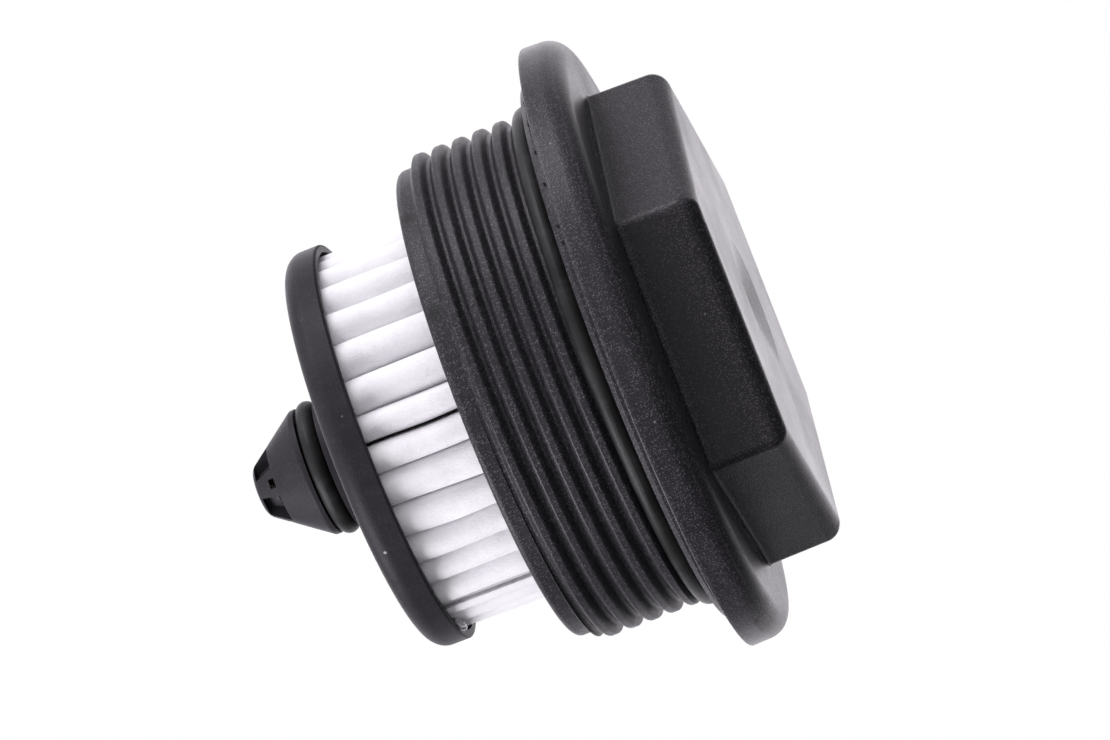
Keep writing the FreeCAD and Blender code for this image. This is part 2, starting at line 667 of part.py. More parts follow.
lobes = [lobe(rays[i], rays[(i + 1) % PLEATS]) for i in range(PLEATS)]
outer_edges, inner_edges = [], []
for i in range(PLEATS):
    a, b = rays[i], rays[(i + 1) % PLEATS]
    centre, radius = lobes[i]
    tip = Vector(centre).normalize()
    # outside face: up one flank, over the fold, down the other flank, across the gap
    a_foot, b_foot = foot(centre, a, -1, gap / 2), foot(centre, b, 1, gap / 2)
    a_low = a[0] - a[2] * (gap / 2)
    b_low = b[0] + b[2] * (gap / 2)
    outer_edges.append(Part.LineSegment(a_low, a_foot).toShape())
    outer_edges.append(Part.Arc(a_foot, centre + tip * radius, b_foot).toShape())
    outer_edges.append(Part.LineSegment(b_foot, b_low).toShape())
    outer_edges.append(Part.LineSegment(b_low, b[0] - b[2] * (gap / 2)).toShape())
    # inside face: the same with the sheet's thickness taken off
    inside = radius - sheet_t
    a_in, b_in = foot(centre, a, -1, gap / 2 + sheet_t), foot(centre, b, 1, gap / 2 + sheet_t)
    a_end = a[0] - a[2] * (gap / 2 + sheet_t)
    b_end = b[0] + b[2] * (gap / 2 + sheet_t)
    b_next = b[0] - b[2] * (gap / 2 + sheet_t)
    inner_edges.append(Part.LineSegment(a_end, a_in).toShape())
    inner_edges.append(Part.Arc(a_in, centre + tip * inside, b_in).toShape())
    inner_edges.append(Part.LineSegment(b_in, b_end).toShape())
    inner_edges.append(Part.Arc(b_end, b[0] - b[1] * (gap / 2 + sheet_t), b_next).toShape())
outer_wire = Part.Wire(outer_edges)
inner_wire = Part.Wire(inner_edges)
if not outer_wire.isClosed() or not inner_wire.isClosed():
    raise RuntimeError("the pleat outline is open")
full_face, hollow_face = Part.Face(outer_wire), Part.Face(inner_wire)
pleat_face = full_face.cut(hollow_face).Faces[0]
if abs(pleat_face.Area - (full_face.Area - hollow_face.Area)) > 1e-3:
    raise RuntimeError("the pleat outline has no hollow")
media = doc.addObject("Part::Feature", "PleatedMedia")
media.Label = "pleated_media"
media.Shape = pleat_face.extrude(Vector(0, 0, (media_high - media_low).value))
media.Placement = Placement(Vector(0, 0, media_low.value), Rotation())

# bead of glue along the seam, in the gap beside the narrow fold
seam = new_body("seam_bead")
seam_sketch = new_sketch(seam, "seam_outline", "XY_Plane")
polygon(seam_sketch, [(1.5, -0.02), (2.05, -0.12), (2.1, 0.0), (2.05, 0.12), (1.5, 0.02)])
seam_pad = seam.newObject("PartDesign::Pad", "bead")
seam_pad.Profile = seam_sketch
bind(seam_pad, "Length", media_high - media_low)
doc.recompute()
seam_at = polar(25.4, bounds[len(VISIBLE) - 2])
seam_along = rays[len(VISIBLE) - 2][1]
seam.Placement = Placement(Vector(seam_at.x, seam_at.y, media_low.value),
                           Rotation(Vector(0, 0, 1), math.degrees(math.atan2(seam_along.y, seam_along.x))))
seam.setExpression("Placement.Base.z", media_low.text)

# --------------------------------------------------------------- checks and files
doc.recompute()
NODES = ["screw_cap", "cap_seal_ring", "upper_end_cap", "bypass_plug", "bypass_spring",
         "bypass_spring_keeper", "lower_end_cap", "spigot_seal_ring", "core_tube",
         "upper_glue_bed", "lower_glue_bed", "pleated_media", "seam_bead"]
for obj in doc.Objects:
    if "Invalid" in obj.State or "Error" in obj.State:
        raise RuntimeError("failed: %s %s" % (obj.Label, obj.State))
made = {}
for obj in doc.Objects:
    if obj.Label in NODES:
        shape = obj.Shape
        if shape.isNull() or not shape.isValid() or len(shape.Solids) < 1:
            raise RuntimeError("bad shape: " + obj.Label)
        made[obj.Label] = obj
for name in NODES:
    shape = made[name].Shape
    box = shape.BoundBox
    print("%-22s solids %d volume %10.2f  z %.2f..%.2f  r %.2f" % (
        name, len(shape.Solids), shape.Volume, box.ZMin, box.ZMax, box.XMax))
for name in NODES:
    made[name].Shape.exportStep("parts/%s.step" % name)
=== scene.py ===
import math

import bmesh
import bpy
import numpy as np
from mathutils import Matrix, Vector


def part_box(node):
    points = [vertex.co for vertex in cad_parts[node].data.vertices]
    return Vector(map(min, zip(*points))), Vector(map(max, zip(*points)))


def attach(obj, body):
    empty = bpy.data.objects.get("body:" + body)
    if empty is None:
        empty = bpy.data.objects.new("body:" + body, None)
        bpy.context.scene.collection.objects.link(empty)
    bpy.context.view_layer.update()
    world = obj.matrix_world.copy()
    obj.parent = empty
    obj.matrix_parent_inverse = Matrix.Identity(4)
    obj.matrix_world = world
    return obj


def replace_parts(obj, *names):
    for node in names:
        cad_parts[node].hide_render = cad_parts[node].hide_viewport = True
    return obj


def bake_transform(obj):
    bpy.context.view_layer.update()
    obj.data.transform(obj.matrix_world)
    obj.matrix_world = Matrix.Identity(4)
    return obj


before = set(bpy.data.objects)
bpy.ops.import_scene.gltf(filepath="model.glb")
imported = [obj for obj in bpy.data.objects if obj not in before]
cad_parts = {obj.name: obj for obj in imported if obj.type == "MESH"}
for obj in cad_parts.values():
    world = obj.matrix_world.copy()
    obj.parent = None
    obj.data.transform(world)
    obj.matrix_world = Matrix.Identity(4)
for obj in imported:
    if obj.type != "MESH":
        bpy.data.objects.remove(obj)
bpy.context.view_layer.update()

# Looks of a screw-in oil filter.  Metres, origin at the centre of the hexagon
# head's end face, +Z along the axis towards the outlet nose.

MM = 0.001

# ------------------------------------------------------------------ directions
# Viewing frame of the photograph: right, up and back (towards the lens).
RIGHT = Vector((-0.36524348, 0.09003968, -0.92654738))
UP = Vector((0.92998171, 0.07977821, -0.35884463))
BACK = Vector((0.04160804, -0.99273778, -0.11287373))
LENS_AT = Vector((0.03576008, -0.82491808, -0.06452276))


def matrix_of(right, up, back, at):
    m = Matrix.Identity(4)
    for col, v in enumerate((right, up, back)):
        for row in range(3):
            m[row][col] = v[row]
    m.translation = at
    return m


cam_data = bpy.data.cameras.new("view")
cam_data.sensor_width = 36.0
cam_data.lens = 6000.0 / 1110.0 * 36.0
cam_data.clip_start = 0.01
cam_data.clip_end = 20.0
camera = bpy.data.objects.new("view", cam_data)
bpy.context.scene.collection.objects.link(camera)
camera.matrix_world = matrix_of(RIGHT, UP, BACK, LENS_AT)
bpy.context.scene.camera = camera

scene = bpy.context.scene
scene.view_settings.view_transform = "Standard"
scene.view_settings.look = "None"
scene.view_settings.exposure = 0.0
scene.view_settings.gamma = 1.0


# ------------------------------------------------------------------ node helper
class Nodes:
    """Small helper that places and joins shader nodes."""

    def __init__(self, tree):
        self.tree = tree
        tree.nodes.clear()

    def add(self, kind, settings=None, **inputs):
        node = self.tree.nodes.new(kind)
        for key, value in (settings or {}).items():
            setattr(node, key, value)
        for key, value in inputs.items():
            self.put(node, key.replace("_", " "), value)
        return node

    def put(self, node, name, value):
        socket = node.inputs[name] if not isinstance(name, int) else node.inputs[name]
        if isinstance(value, bpy.types.NodeSocket):
            self.tree.links.new(value, socket)
        else:
            socket.default_value = value

    def math(self, op, a, b=0.0, c=None, clamp=False):
        node = self.tree.nodes.new("ShaderNodeMath")
        node.operation = op
        node.use_clamp = clamp
        self.put(node, 0, a)
        self.put(node, 1, b)
        if c is not None:
            self.put(node, 2, c)
        return node.outputs[0]

    def remap(self, value, low, high, to_low=0.0, to_high=1.0, smooth=False):
        node = self.tree.nodes.new("ShaderNodeMapRange")
        node.interpolation_type = "SMOOTHSTEP" if smooth else "LINEAR"
        node.clamp = True
        for i, v in enumerate((value, low, high, to_low, to_high)):
            self.put(node, i, v)
        return node.outputs[0]

    def mix(self, share, a, b):
        node = self.tree.nodes.new("ShaderNodeMix")
        node.data_type = "RGBA"
        self.put(node, 0, share)
        self.put(node, 6, a)
        self.put(node, 7, b)
        return node.outputs[2]

    def noise(self, vector, scale, detail=3.0, rough=0.55, distort=0.0):
        node = self.tree.nodes.new("ShaderNodeTexNoise")
        self.put(node, "Vector", vector)
        self.put(node, "Scale", scale)
        self.put(node, "Detail", detail)
        self.put(node, "Roughness", rough)
        self.put(node, "Distortion", distort)
        return node.outputs[0]

    def cells(self, vector, scale, feature="F1", output="Distance"):
        node = self.tree.nodes.new("ShaderNodeTexVoronoi")
        node.feature = feature
        self.put(node, "Vector", vector)
        self.put(node, "Scale", scale)
        return node.outputs[output]

    def bump(self, height, distance, strength=1.0, normal=None):
        node = self.tree.nodes.new("ShaderNodeBump")
        self.put(node, "Height", height)
        self.put(node, "Distance", distance)
        self.put(node, "Strength", strength)
        if normal is not None:
            self.put(node, "Normal", normal)
        return node.outputs[0]


def grey(v, a=1.0):
    return (v, v, v, a)


def new_material(name):
    mat = bpy.data.materials.new(name)
    mat.use_nodes = True
    n = Nodes(mat.node_tree)
    out = n.add("ShaderNodeOutputMaterial")
    shader = n.add("ShaderNodeBsdfPrincipled")
    mat.node_tree.links.new(shader.outputs[0], out.inputs[0])
    return mat, n, shader


def object_space(n):
    place = n.add("ShaderNodeTexCoord").outputs["Object"]
    parts = n.add("ShaderNodeSeparateXYZ")
    n.put(parts, 0, place)
    return place, parts.outputs[0], parts.outputs[1], parts.outputs[2]


def spot(n, place, at, radius, soft=0.5):
    """Share from 1 at a place on the object to 0 outside a radius, both in millimetres."""
    away = n.add("ShaderNodeVectorMath", {"operation": "DISTANCE"})
    n.put(away, 0, place)
    away.inputs[1].default_value = tuple(v * MM for v in at)
    return n.remap(away.outputs[1], radius * MM * (1 - soft), radius * MM, 1.0, 0.0, smooth=True)


def moulded(name, tint, rough, grain, grain_scale, speck=0.0, split=None, spec=0.4, worn=0.35, lines=(), pale=(), dark=(), flat=None):
    """Black moulded plastic: fine eroded grain, faint flow mottling, dust in places, lighter rubbed edges.
    split = (height, rough, grain): above that height the mould was polished smoother."""
    mat, n, s = new_material(name)
    place, x, y, z = object_space(n)
    broad = n.noise(place, 55.0, 4.0, 0.6, 0.4)
    middle = n.noise(place, 420.0, 3.0, 0.6)
    fine = n.noise(place, grain_scale, 4.0, 0.62)
    pits = n.cells(place, grain_scale * 1.35)
    tone = n.mix(n.remap(broad, 0.3, 0.7), tuple(c * 0.82 for c in tint) + (1,), tuple(c * 1.2 for c in tint) + (1,))
    tone = n.mix(n.remap(middle, 0.42, 0.75, 0.0, 0.35), tone, tuple(c * 1.7 for c in tint) + (1,))
    # ends of glass fibres: small dots in about every third cell
    dots = n.remap(n.cells(place, grain_scale * 1.35), 0.16, 0.46, 1.0, 0.0)
    chosen = n.remap(n.cells(place, grain_scale * 1.35, output="Color"), 0.42, 0.66)
    bright = n.math("MULTIPLY", n.math("MULTIPLY", dots, chosen), speck)
    tone = n.mix(n.remap(fine, 0.50, 0.70, 0.0, speck * 0.35), tone, (0.085, 0.082, 0.092, 1))
    tone = n.mix(bright, tone, (0.22, 0.213, 0.232, 1))
    edge = n.add("ShaderNodeNewGeometry").outputs["Pointiness"]
    rub = n.math("MULTIPLY", n.remap(edge, 0.53, 0.62), n.remap(broad, 0.35, 0.6, 0.25, 1.0))
    tone = n.mix(n.math("MULTIPLY", rub, worn), tone, (0.060, 0.058, 0.064, 1))
    dust = n.math("MULTIPLY", n.remap(n.noise(place, 1700.0, 2.0, 0.5), 0.7, 0.76), n.remap(n.noise(place, 130.0, 2.0), 0.52, 0.7))
    tone = n.mix(n.math("MULTIPLY", dust, 0.45), tone, (0.22, 0.21, 0.2, 1))
    # thin pale lines around the part: some are a real mould parting line where two halves of the mould met, others are
    # painted highlights along rounded edges
    for height, half, share, r_low, r_high in lines:
        radius = n.math("SQRT", n.math("ADD", n.math("MULTIPLY", x, x), n.math("MULTIPLY", y, y)))
        gap = n.math("ABSOLUTE", n.math("SUBTRACT", z, height * MM))
        parting_line_and_highlight_band = n.math("MULTIPLY", n.remap(gap, 0.0, half * MM, 1.0, 0.0, smooth=True), n.remap(fine, 0.44, 0.64, 0.10, 1.0))
        parting_line_and_highlight_band = n.math("MULTIPLY", parting_line_and_highlight_band, n.math("MULTIPLY", n.remap(radius, r_low * MM, (r_low + 0.2) * MM), n.remap(radius, r_high * MM, (r_high + 0.2) * MM, 1.0, 0.0)))
        parting_line_and_highlight_band = n.math("MULTIPLY", parting_line_and_highlight_band, n.remap(broad, 0.34, 0.56, 0.35, 1.0))
        tone = n.mix(n.math("MULTIPLY", parting_line_and_highlight_band, share), tone, (0.115, 0.112, 0.120, 1))
    for at, radius, share in pale:
        tone = n.mix(n.math("MULTIPLY", spot(n, place, at, radius), share), tone, (0.34, 0.33, 0.33, 1))
    for at, radius, share in dark:
        tone = n.mix(n.math("MULTIPLY", spot(n, place, at, radius, 0.9), share), tone, (0.001, 0.001, 0.0012, 1))
    n.put(s, "Base Color", tone)
    rough_now = n.math("ADD", n.remap(broad, 0.25, 0.75, rough - 0.06, rough + 0.06), n.remap(fine, 0.3, 0.7, -0.05, 0.07))
    amount = 1.0
    if split is not None:
        height, rough_up, grain_up = split
        above = n.remap(z, height - 0.0003, height + 0.0003)
        smooth_rough = n.remap(middle, 0.25, 0.75, rough_up - 0.05, rough_up + 0.06)
        rough_now = n.math("ADD", n.math("MULTIPLY", rough_now, n.math("SUBTRACT", 1.0, above)), n.math("MULTIPLY", smooth_rough, above))
        amount = n.math("ADD", 1.0, n.math("MULTIPLY", above, grain_up - 1.0))
    if flat is not None:
        facing_out = n.add("ShaderNodeSeparateXYZ")
        n.put(facing_out, 0, n.add("ShaderNodeNewGeometry").outputs["Normal"])
        even = n.math("MULTIPLY", n.remap(facing_out.outputs[2], -0.975, -0.997), n.remap(z, 0.0125, 0.0128, 1.0, 0.0))
        even = n.math("MULTIPLY", even, n.remap(z, 0.0100, 0.0105))
        away = n.math("SQRT", n.math("ADD", n.math("MULTIPLY", x, x), n.math("MULTIPLY", y, y)))
        even = n.math("MULTIPLY", even, n.remap(away, 0.0335, 0.0352, 1.0, 0.0))
        flat_rough = n.remap(middle, 0.25, 0.75, flat - 0.04, flat + 0.05)
        rough_now = n.math("ADD", n.math("MULTIPLY", rough_now, n.math("SUBTRACT", 1.0, even)), n.math("MULTIPLY", flat_rough, even))
        amount = n.math("MULTIPLY", amount, n.math("SUBTRACT", 1.0, n.math("MULTIPLY", even, 0.75)))
        rough_now = n.math("SUBTRACT", rough_now, n.remap(z, 0.0002, 0.0016, 0.05, 0.0))
    n.put(s, "Roughness", rough_now)
    s.inputs["Specular IOR Level"].default_value = spec
    relief = n.math("ADD", n.math("MULTIPLY", fine, 0.8), n.math("MULTIPLY", pits, 0.45))
    relief = n.math("ADD", n.math("MULTIPLY", relief, amount), n.math("MULTIPLY", middle, 0.2))
    n.put(s, "Normal", n.bump(relief, grain, 1.0))
    return mat


def rubber(name, tint=0.009, rough=0.46, spec=0.18):
    """Black seal rubber with a slight bloom, fine pores and handling streaks."""
    mat, n, s = new_material(name)
    place, x, y, z = object_space(n)
    broad = n.noise(place, 90.0, 4.0, 0.6, 0.6)
    fine = n.noise(place, 3200.0, 3.0, 0.6)
    tone = n.mix(n.remap(broad, 0.4, 0.72), grey(tint), grey(tint * 2.6))
    bloom = n.math("MULTIPLY", n.remap(n.noise(place, 240.0, 5.0, 0.7, 1.2), 0.55, 0.75), 0.4)
    tone = n.mix(bloom, tone, (0.045, 0.046, 0.05, 1))
    n.put(s, "Base Color", tone)
    n.put(s, "Roughness", n.math("ADD", n.remap(broad, 0.3, 0.7, rough - 0.08, rough + 0.1), n.remap(fine, 0.3, 0.7, -0.04, 0.06)))
    s.inputs["Specular IOR Level"].default_value = spec
    relief = n.math("ADD", fine, n.math("MULTIPLY", n.noise(place, 700.0, 2.0), 0.8))
    n.put(s, "Normal", n.bump(relief, 0.00002, 1.0))
    return mat


def fleece(name):
    """White filter fleece: matted fibres along and across, slightly grey in patches."""
    mat, n, s = new_material(name)
    place, x, y, z = object_space(n)
    stretch = n.add("ShaderNodeMapping")
    n.put(stretch, "Vector", place)
    stretch.inputs["Scale"].default_value = (1.0, 1.0, 0.32)
    long_fibre = n.noise(stretch.outputs[0], 2600.0, 5.0, 0.7, 1.6)
    cross = n.noise(place, 1900.0, 4.0, 0.7, 2.2)
    clumps = n.noise(place, 300.0, 3.0, 0.6)
    tone = n.mix(n.remap(clumps, 0.3, 0.7), (0.83, 0.83, 0.855, 1), (0.90, 0.90, 0.91, 1))
    tone = n.mix(n.remap(cross, 0.58, 0.8, 0.0, 0.22), tone, (0.74, 0.74, 0.78, 1))
    n.put(s, "Base Color", tone)
    n.put(s, "Roughness", n.remap(long_fibre, 0.3, 0.7, 0.78, 0.95))
    s.inputs["Specular IOR Level"].default_value = 0.25
    s.inputs["Sheen Weight"].default_value = 0.15
    s.inputs["Sheen Roughness"].default_value = 0.5
    s.inputs["Subsurface Weight"].default_value = 0.12
    s.inputs["Subsurface Radius"].default_value = (1.0, 0.95, 1.0)
    s.inputs["Subsurface Scale"].default_value = 0.0008
    relief = n.math("ADD", n.math("MULTIPLY", long_fibre, 0.7), n.math("ADD", n.math("MULTIPLY", cross, 0.5), n.math("MULTIPLY", clumps, 0.8)))
    n.put(s, "Normal", n.bump(relief, 0.00013, 1.0))
    return mat


def glue(name):
    """Cured potting glue: smoky, slightly clear, with small bubbles."""
    mat, n, s = new_material(name)
    place, x, y, z = object_space(n)
    cloud = n.noise(place, 500.0, 4.0, 0.6, 0.6)
    bubbles = n.cells(place, 1500.0)
    tone = n.mix(n.remap(cloud, 0.3, 0.7), (0.20, 0.20, 0.215, 1), (0.46, 0.46, 0.48, 1))
    n.put(s, "Base Color", tone)
    n.put(s, "Roughness", n.remap(cloud, 0.3, 0.7, 0.2, 0.4))
    s.inputs["Specular IOR Level"].default_value = 0.5
    s.inputs["Subsurface Weight"].default_value = 0.4
    s.inputs["Subsurface Radius"].default_value = (1.0, 0.95, 0.9)
    s.inputs["Subsurface Scale"].default_value = 0.001
    n.put(s, "Normal", n.bump(n.math("ADD", n.math("MULTIPLY", bubbles, 0.4), cloud), 0.00006, 1.0))
    return mat


def spring_steel(name):
    """Drawn spring wire: bright grey with die lines and a thin film of oil stain."""
    mat, n, s = new_material(name)
    place, x, y, z = object_space(n)
    stain = n.noise(place, 260.0, 4.0, 0.65)
    lines = n.noise(place, 2400.0, 2.0, 0.5)
    tone = n.mix(n.remap(stain, 0.4, 0.7), (0.52, 0.51, 0.50, 1), (0.33, 0.31, 0.29, 1))
    n.put(s, "Base Color", tone)
    s.inputs["Metallic"].default_value = 1.0
    n.put(s, "Roughness", n.remap(lines, 0.3, 0.7, 0.22, 0.42))
    n.put(s, "Normal", n.bump(lines, 0.00001, 1.0))
    return mat


INK = (0.0130, 0.0123, 0.0148)
CAP = moulded(
    "cap_plastic", INK, 0.38, 0.00005, 3300.0, speck=0.55, split=(0.0175, 0.50, 0.5), spec=0.26, worn=0.06, flat=0.25,
    # lines: 12.75 mm is the mould parting line; 17.0 mm on the flange's outer edge and 10.6 mm at the hexagon's base
    # are painted highlights
    lines=((17.0, 0.42, 0.55, 43.0, 46.0), (12.75, 0.34, 0.45, 42.0, 46.0), (10.6, 0.42, 0.50, 25.0, 36.4)),
    pale=(((19.6, -23.4, 6.1), 0.22, 0.5), ((2.2, -30.2, 4.4), 0.2, 0.4), ((-8.1, -43.4, 14.6), 0.22, 0.4), ((30.9, -31.6, 15.2), 0.25, 0.35)),
    dark=(((0.4, -9.25, 0.0), 0.42, 1.0), ((28.3, -19.8, 38.2), 1.9, 0.85), ((15.3, -30.9, 38.1), 1.7, 0.75)))
END = moulded(
    "end_cap_plastic", (0.0185, 0.0175, 0.0205), 0.50, 0.000022, 3000.0, speck=0.08, spec=0.12, worn=0.1,
    pale=(((-12.44, -26.47, 56.79), 0.30, 0.9), ((6.9, -28.4, 55.1), 0.16, 0.35)))
INNER = moulded("inner_plastic", (0.0125, 0.0118, 0.0140), 0.44, 0.00002, 2600.0, speck=0.05, spec=0.25)
SEAL = rubber("seal_rubber")
FLEECE = fleece("filter_medium")
GLUE = glue("glue")
STEEL = spring_steel("spring_steel")


def finish_of(obj, mat):
    obj.data.materials.clear()
    obj.data.materials.append(mat)


def paint(node, mat):
    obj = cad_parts[node]
    slots = obj.material_slots
    if not slots:
        obj.data.materials.append(mat)
    for one in obj.material_slots:
        one.material = mat


for node, mat in (
    ("screw_cap", CAP), ("lower_end_cap", END), ("upper_end_cap", INNER),
    ("bypass_plug", INNER), ("bypass_spring_keeper", INNER), ("core_tube", INNER),
    ("upper_glue_bed", GLUE), ("lower_glue_bed", GLUE), ("seam_bead", GLUE),
    ("cap_seal_ring", SEAL), ("spigot_seal_ring", SEAL), ("pleated_media", FLEECE),
    ("bypass_spring", STEEL),
):
    paint(node, mat)


# ------------------------------------------------------------------ mesh helpers
def make_mesh(name, verts, faces, mat, smooth=True):
    mesh = bpy.data.meshes.new(name)
    mesh.from_pydata([tuple(v) for v in verts], [], faces)
    mesh.validate()
    bm = bmesh.new()
    bm.from_mesh(mesh)
    bmesh.ops.recalc_face_normals(bm, faces=bm.faces)
    bm.to_mesh(mesh)
    bm.free()
    if smooth:
        mesh.polygons.foreach_set("use_smooth", [True] * len(mesh.polygons))
    mesh.materials.append(mat)
    obj = bpy.data.objects.new(name, mesh)
    bpy.context.scene.collection.objects.link(obj)
    return obj


def grid_faces(rows, cols, close_rows, close_cols):
    faces = []
    for i in range(rows if close_rows else rows - 1):
        for j in range(cols if close_cols else cols - 1):
            a, b = (i + 1) % rows, (j + 1) % cols
            faces.append((i * cols + j, a * cols + j, a * cols + b, i * cols + b))
    return faces


def wave(seed, terms):
    """A smooth periodic function of an angle, the same each run."""
    rng = np.random.default_rng(seed)
    amp = rng.normal(size=len(terms))
    phase = rng.uniform(0, 2 * math.pi, size=len(terms))
    return lambda t: sum(a * np.sin(k * t + p) for a, k, p in zip(amp, terms, phase)) / math.sqrt(len(terms))


# ------------------------------------------------------------------ seal rings
def seal_ring(name, node, radius, height, section, flash, mat):
    """A moulded rubber ring: round section with the trimmed flash line of its mould on both equators."""
    around, about = 288, 56
    swell = wave(len(name), (2, 3, 5, 9))
    nick = wave(len(name) + 7, (11, 17, 23, 31, 43))
    verts = []
    for i in range(around):
        t = 2 * math.pi * i / around
        r0 = section / 2 * (1 + 0.004 * swell(t))
        for j in range(about):
            u = 2 * math.pi * j / about
            d = min(abs(math.sin(u)), 1.0)
            ridge = flash * math.exp(-((d / 0.055) ** 2)) * (0.75 + 0.25 * nick(t))
            r = r0 + ridge
            verts.append(((radius + r * math.cos(u)) * math.cos(t), (radius + r * math.cos(u)) * math.sin(t), height + r * math.sin(u)))
    ring = make_mesh(name, verts, grid_faces(around, about, True, True), mat)
    return ring


low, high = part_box("cap_seal_ring")
cap_ring = seal_ring("cap_ring_moulding", "cap_seal_ring", 0.0354, (low.z + high.z) / 2, 0.00271, 0.00004, SEAL)
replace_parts(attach(cap_ring, "cap"), "cap_seal_ring")
low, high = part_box("spigot_seal_ring")
nose_ring = seal_ring("spigot_ring_moulding", "spigot_seal_ring", 0.00843, (low.z + high.z) / 2, 0.00263, 0.00003, SEAL)
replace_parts(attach(nose_ring, "cartridge"), "spigot_seal_ring")


# ------------------------------------------------------------------ pleats
VISIBLE = [27.2, 39.2, 51.4, 64.7, 76.3, 85.8, 95.0, 106.7, 116.9, 127.3, 137.7, 147.9, 154.0]
PLEATS = 33
bounds = [-v for v in VISIBLE]
rest = PLEATS - (len(bounds) - 1)
span = 360.0 - (VISIBLE[-1] - VISIBLE[0])
rng = np.random.default_rng(11)
for i in range(1, rest):
    bounds.append(-VISIBLE[-1] - span * i / rest + float(rng.normal()) * 0.5)
R_OUT, R_IN, SHEET, GAP = 27.75, 12.35, 0.78, 0.03
FOLD_R = R_IN + SHEET + GAP / 2
# room between two neighbouring folds; one pair stands a little apart
ROOM = [GAP] * PLEATS
ROOM[5] = 0.50


def polar(r, deg):
    return np.array((r * math.cos(math.radians(deg)), r * math.sin(math.radians(deg))))


def pleat_section(bounds_now, r_outs, roundness):
    """The sheet's outside and inside outline at one height, as two closed loops with the same count of points."""
    mean = sum(b + 360.0 * i / PLEATS for i, b in enumerate(bounds)) / PLEATS
    rays = []
    for i, b in enumerate(bounds_now):
        inner = polar(FOLD_R, mean - 360.0 * i / PLEATS)
        outer = polar(25.4, b)
        along = (outer - inner) / np.linalg.norm(outer - inner)
        rays.append((inner, along, np.array((-along[1], along[0]))))
    outside, inside = [], []
    steps = 18
    for i in range(PLEATS):
        pa, ua, na = rays[i]
        pb, ub, nb = rays[(i + 1) % PLEATS]
        gap_a, gap_b = ROOM[i] / 2, ROOM[(i + 1) % PLEATS] / 2
        a0, b0 = pa - na * gap_a, pb + nb * gap_b
        mid = (ua + ub) / np.linalg.norm(ua + ub)
        side = np.array((mid[1], -mid[0]))
        low, high = 4.0, R_OUT
        deep = roundness[i]
        # shoulder height where the flanks end and the fold begins
        shoulder = r_outs[i] - deep
        wa = a0 + ua * ((shoulder - a0 @ mid) / (ua @ mid))
        wb = b0 + ub * ((shoulder - b0 @ mid) / (ub @ mid))
        half = np.linalg.norm(wb - wa) / 2
        centre = (wa + wb) / 2
        across = (wb - wa) / (2 * half)
        # flank a, from the inner fold outwards
        for k in range(4):
            t = k / 4
            outside.append(a0 + (wa - a0) * t)
            ia = pa - na * (gap_a + SHEET)
            iw = wa + across * SHEET
            inside.append(ia + (iw - ia) * t)
        for k in range(steps + 1):
            u = math.pi * k / steps
            c, s = -math.cos(u), math.sin(u)
            p = 2.05
            cc = math.copysign(abs(c) ** (2 / p), c)
            ss = abs(s) ** (2 / p)
            outside.append(centre + across * half * cc + mid * deep * ss)
            inside.append(centre + across * (half - SHEET) * cc + mid * max(deep - SHEET, 0.1) * ss)
        for k in range(3, -1, -1):
            t = k / 4
            outside.append(b0 + (wb - b0) * t)
            ib = pb + nb * (gap_b + SHEET)
            iw = wb - across * SHEET
            inside.append(ib + (iw - ib) * t)
    return np.array(outside), np.array(inside)


def build_pleats():
    low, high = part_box("pleated_media")
    z0, z1 = low.z * 1000, high.z * 1000
    levels = 22
    wobble = [wave(100 + i, (1.0, 2.0, 3.3)) for i in range(PLEATS)]
    swell = [wave(300 + i, (0.8, 1.7, 3.0)) for i in range(PLEATS)]
    r2 = np.random.default_rng(5)
    width = [abs(bounds[i] - (bounds[i + 1] if i + 1 < PLEATS else bounds[0] - 360.0)) for i in range(PLEATS)]
    depth = np.array([0.235 * w for w in width]) + 0.12 * r2.normal(size=PLEATS)
    depth = np.clip(depth, 1.35, 2.9)
    reach = R_OUT - 0.12 - np.abs(r2.normal(size=PLEATS)) * 0.18
    # the narrow fold at the glued seam is flat and stands as high as its neighbours
    depth[11], reach[11] = 0.95, R_OUT - 0.10
    reach[10] = R_OUT - 0.12
    rows_out, rows_in = [], []
    for k in range(levels):
        f = k / (levels - 1)
        t = f * math.pi * 1.3
        b = [bounds[i] + 0.30 * float(wobble[i](t)) for i in range(PLEATS)]
        r = [min(R_OUT, reach[i] + 0.06 * float(swell[i](t))) for i in range(PLEATS)]
        out, ins = pleat_section(b, r, depth)
        z = z0 + (z1 - z0) * f
        rows_out.append(np.column_stack([out, np.full(len(out), z)]))
        rows_in.append(np.column_stack([ins, np.full(len(ins), z)]))
    count = len(rows_out[0])
    verts = np.vstack(rows_out + rows_in) * MM
    faces = grid_faces(levels, count, False, True)
    base = levels * count
    faces += [tuple(base + v for v in reversed(f)) for f in grid_faces(levels, count, False, True)]
    for row, flip in ((0, False), (levels - 1, True)):
        for j in range(count):
            a, b = row * count + j, row * count + (j + 1) % count
            q = (a, b, base + b, base + a)
            faces.append(tuple(reversed(q)) if flip else q)
    return make_mesh("pleats", verts, faces, FLEECE)


pleats = build_pleats()
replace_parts(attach(pleats, "cartridge"), "pleated_media")


